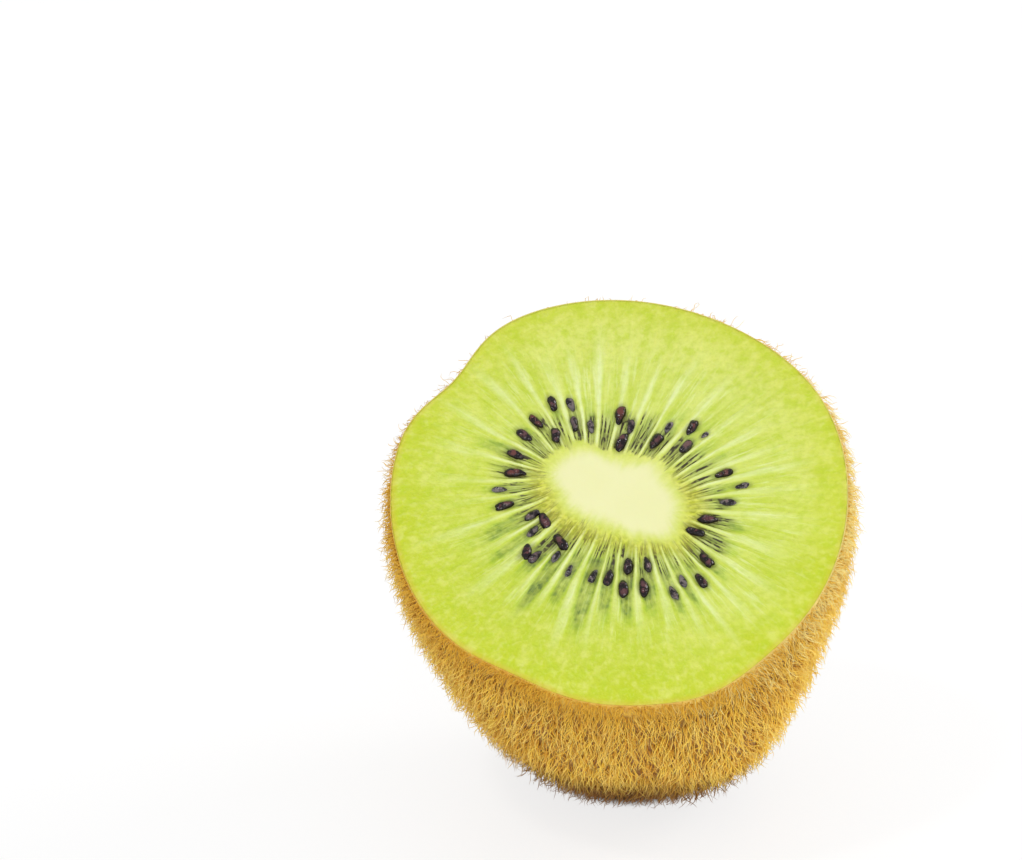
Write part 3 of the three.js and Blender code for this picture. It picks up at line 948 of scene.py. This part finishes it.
def hair_material(name, root_colour, middle_colour, tip_colour):
    paint = Paint(name, Roughness=0.6, Specular_IOR_Level=0.2, Sheen_Weight=0.06, Sheen_Roughness=0.4)
    paint.shader.inputs["Sheen Tint"].default_value = colour(255, 214, 120)
    height, tone, near_cut = paint.parts("height_tone_light_cut")
    place = paint.place()
    patch = paint.noise(place, 130, 2, 0.5)
    over_floor = paint.split(place)[2]
    # Painted shade: the hairs are darker near the floor, where little light reaches.
    low = paint.spread(over_floor, FLOOR_SHADE_HEIGHTS[0] * MM, FLOOR_SHADE_HEIGHTS[1] * MM, 1.0, 0.0)
    hair = paint.mix(paint.spread(height, 0.0, 0.4), root_colour, middle_colour)
    hair = paint.mix(paint.spread(height, 0.4, 1.0), hair, tip_colour)
    hair = paint.mix(paint.spread(tone, 0.7, 1.0, 0, 0.6), hair, colour(206, 128, 36))
    # Low tones make pale hairs, at random and, under 0, as painted light on the right.
    hair = paint.mix(paint.spread(tone, 0.3, 0.0, 0, 0.5), hair, colour(252, 226, 130))
    hair = paint.mix(paint.spread(patch, 0.5, 0.7, 0, 0.3), hair, colour(214, 152, 50))
    hair = paint.mix(paint.times(near_cut, 0.8), hair, colour(232, 182, 58))
    # Tones under 0 take the pale colour of the painted light on the right.
    hair = paint.mix(paint.spread(tone, 0.0, -0.2, 0, 0.85), hair, colour(251, 237, 158))
    paint.colour(paint.mix(low, hair, colour(132, 104, 98), "MULTIPLY"))
    return paint.material


def hairs():
    coat = Coat()
    amber = hair_material("amber_hair", colour(154, 94, 30), colour(232, 172, 54), colour(250, 198, 72))
    golden = hair_material("golden_hair", colour(194, 124, 36), colour(254, 212, 78), colour(255, 224, 104))
    straw = hair_material("straw_hair", colour(224, 162, 58), colour(250, 206, 88), colour(255, 224, 122))
    finishes = {"amber": amber, "golden": golden, "straw": straw}
    for name, kind in HAIR_KINDS.items():
        finish_piece(hair_piece(name, kind, coat), finishes[kind["finish"]])


# ---------------------------------------- dried flower end

FLOWER_RADIUS = 2.6
FLOWER_RISE = 0.9
BUTTON_DROP = 0.2
THREAD_DROP = 0.4
THREADS = 46
THREAD_STEPS = 9
THREAD_RADII = (0.12, 0.05)


def flower_button():
    """An uneven low button at the far tip."""
    sides, rings = 32, 8
    latitude = np.arange(1, rings) * np.pi / rings
    turn = np.arange(sides) * 2 * np.pi / sides
    ring = np.stack([
        np.sin(latitude)[:, None] * np.cos(turn),
        np.sin(latitude)[:, None] * np.sin(turn),
        np.repeat(np.cos(latitude)[:, None], sides, 1),
    ], -1).reshape(-1, 3)
    ball = np.concatenate([[[0, 0, 1]], ring, [[0, 0, -1]]])
    ball *= 1 + 0.12 * Waves(8, (0.5, 1.2), 10).at(ball)[:, None]
    points = ball * np.array([FLOWER_RADIUS, FLOWER_RADIUS, FLOWER_RISE])
    points += np.array([0, 0, -BODY_LENGTH - BUTTON_DROP])
    return points, closed_faces(rings - 1, sides, flip=True)


def flower_threads():
    """Curled dry threads that stand on the button and splay outwards."""
    draw = np.random.default_rng(9)
    turn = draw.uniform(0, 2 * np.pi, THREADS)
    outward = np.stack([np.cos(turn), np.sin(turn), np.zeros(THREADS)], -1)
    sideways = np.stack([-np.sin(turn), np.cos(turn), np.zeros(THREADS)], -1)
    root = outward * draw.uniform(0.4, 2.2, (THREADS, 1)) + np.array([0, 0, -BODY_LENGTH - THREAD_DROP])
    length = draw.uniform(1.6, 3.4, (THREADS, 1))
    splay = draw.uniform(0.2, 1.1, (THREADS, 1))
    twist = draw.normal(0, 0.6, (THREADS, 1))
    centres = []
    for share in np.linspace(0, 1, THREAD_STEPS):
        reach = length * (share - 0.35 * share ** 2 * splay)
        out = length * splay * share ** 1.4 * outward * 0.7
        curl = length * twist * share ** 2 * sideways * 0.6
        centres.append(root + reach * np.array([0, 0, -0.75]) + out + curl)
    radii = np.repeat(np.linspace(*THREAD_RADII, THREAD_STEPS)[None], THREADS, 0)
    points, faces, _ = tubes(np.stack(centres, 1), radii)
    return points, faces


def flower_piece():
    button, button_faces = flower_button()
    threads, thread_faces = flower_threads()
    points = rest_on(to_part(np.concatenate([button, threads])), FLOWER_FLOOR)
    return add_mesh("flower_end", points, np.concatenate([button_faces, thread_faces + len(button)]))


def flower_material():
    paint = Paint("dry_flower", Roughness=0.8)
    cloud = paint.noise(paint.place(), 900, 4, 0.6)
    fine = paint.noise(paint.place(), 3200, 3, 0.6)
    dry = paint.mix(paint.spread(cloud, 0.35, 0.65), colour(48, 34, 24), colour(112, 78, 44))
    paint.colour(paint.mix(paint.spread(fine, 0.5, 0.75, 0, 0.6), dry, colour(150, 116, 72)))
    paint.bump(fine, 0.15, 0.8)
    return paint.material


# ---------------------------------------- floor, light and camera

FLOOR_SIZE = 3000.0
# The floor's painted glow fades in between these distances from the middle of the rest spot, a painted
# shadow under the fruit.
GLOW_START = 6.5
GLOW_FULL = 9.0
GLOW = 0.78


def floor():
    """A plain pale floor. It glows as a painted light that also lights the fruit, but not under the fruit,
    where this leaves a painted shadow along with the lamps' shadow.
    """
    corners = FLOOR_SIZE * np.array([[-1, -1, 0], [1, -1, 0], [1, 1, 0], [-1, 1, 0]])
    piece = add_mesh("floor", corners, [[0, 1, 2, 3]])
    paint = Paint("pale_floor", Roughness=0.6)
    paint.shader.inputs["Emission Color"].default_value = (1, 1, 1, 1)
    paint.colour(colour(125, 125, 125))
    from_spot = paint.nodes.new("ShaderNodeVectorMath")
    from_spot.operation = "LENGTH"
    paint.set(from_spot.inputs[0], paint.place())
    # Painted light from the floor, left out near the rest spot as painted shadow.
    glow = paint.spread(from_spot.outputs["Value"], GLOW_START * MM, GLOW_FULL * MM, 0.0, GLOW)
    paint.set(paint.shader.inputs["Emission Strength"], glow)
    piece.data.materials.append(paint.material)


ROOM_LIGHT = 0.64


def area_light(name, place, size, power):
    """A square soft light at a place in millimetres, turned to the fruit."""
    light = bpy.data.lights.new(name, "AREA")
    light.size = size * MM
    light.energy = power
    lamp = bpy.data.objects.new(name, light)
    lamp.location = Vector(place) * MM
    target = Vector(FACE_MIDDLE) * MM
    lamp.rotation_euler = (target - lamp.location).to_track_quat("-Z", "Y").to_euler()
    bpy.context.scene.collection.objects.link(lamp)


def lights():
    world = bpy.data.worlds.new("pale_room")
    bpy.context.scene.world = world
    world.use_nodes = True
    background = world.node_tree.nodes["Background"]
    background.inputs["Color"].default_value = (1, 1, 1, 1)
    background.inputs["Strength"].default_value = ROOM_LIGHT
    area_light("top_softbox", (-300, -260, 700), 90, 1.0)
    area_light("front_fill", (200, -720, 160), 400, 2.2)
    area_light("side_fill", (650, 400, 300), 400, 3.5)
    bpy.context.scene.view_settings.view_transform = "Standard"


def camera():
    azimuth, elevation = np.radians(CAMERA_AZIMUTH), np.radians(CAMERA_ELEVATION)
    level = np.cos(elevation)
    back = Vector((np.sin(azimuth) * level, -np.cos(azimuth) * level, np.sin(elevation)))
    right = Vector((np.cos(azimuth), np.sin(azimuth), 0))
    up = back.cross(right)
    right_of_middle = (FACE_PIXEL[0] - IMAGE_SIZE[0] / 2) / PIXELS_PER_MM
    under_middle = (FACE_PIXEL[1] - IMAGE_SIZE[1] / 2) / PIXELS_PER_MM
    place = Vector(FACE_MIDDLE) + CAMERA_DISTANCE * back - right_of_middle * right + under_middle * up
    lens = bpy.data.cameras.new("camera")
    lens.sensor_width = SENSOR
    lens.lens = PIXELS_PER_MM * CAMERA_DISTANCE / IMAGE_SIZE[0] * SENSOR
    lens.clip_start = 0.01
    lens.clip_end = 20
    viewer = bpy.data.objects.new("camera", lens)
    turned = Matrix((right, up, back)).transposed().to_4x4()
    viewer.matrix_world = Matrix.Translation(place * MM) @ turned
    bpy.context.scene.collection.objects.link(viewer)
    bpy.context.scene.camera = viewer


# ---------------------------------------- the whole scene

camera()
lights()
floor()
finish_piece(flesh_piece(), flesh_material())
finish_piece(seeds_piece(), seed_material())
finish_piece(skin_piece(), skin_material())
hairs()
finish_piece(flower_piece(), flower_material())
